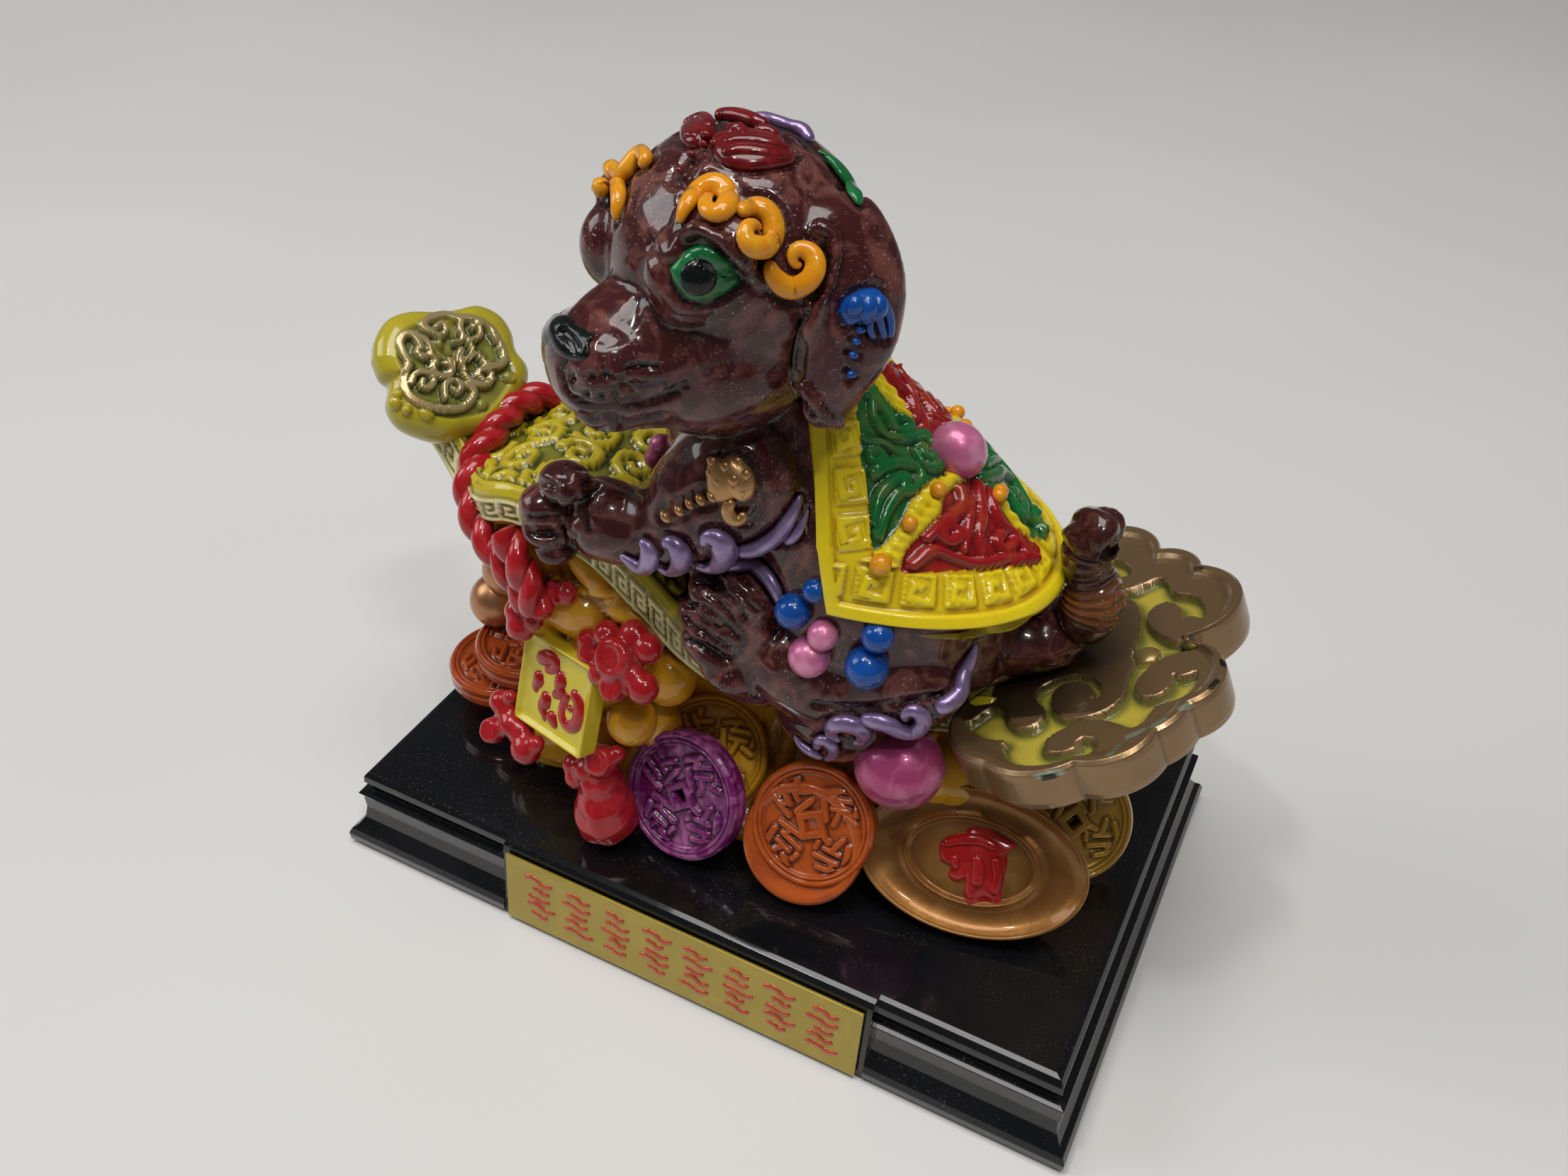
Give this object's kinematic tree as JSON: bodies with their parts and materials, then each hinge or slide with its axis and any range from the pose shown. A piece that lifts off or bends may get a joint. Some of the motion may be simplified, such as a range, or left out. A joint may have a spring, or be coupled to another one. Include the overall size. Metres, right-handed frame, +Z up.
{
  "type": "chinese zodiac figure",
  "caption": "Painted resin dog of the zodiac lying on a ruyi sceptre over coins and ingots, fixed on a black lacquered plinth with a gold label plate",
  "frame": {"origin": "middle of the plinth's underside", "axes": "+X along the plinth's long front, towards the tail; +Y to the back; +Z up"},
  "size_m": [0.1223, 0.0767, 0.1199],
  "materials": {
    "lacquer": "black gloss lacquer",
    "gold_foil": "brushed gold foil with orange-red strokes",
    "painted_resin": "gloss enamel over cast resin, in many colours"
  },
  "bodies": {
    "root": {"plinth": "lacquer", "label_plate": "gold_foil", "figurine": "painted_resin"}
  },
  "joints": []
}
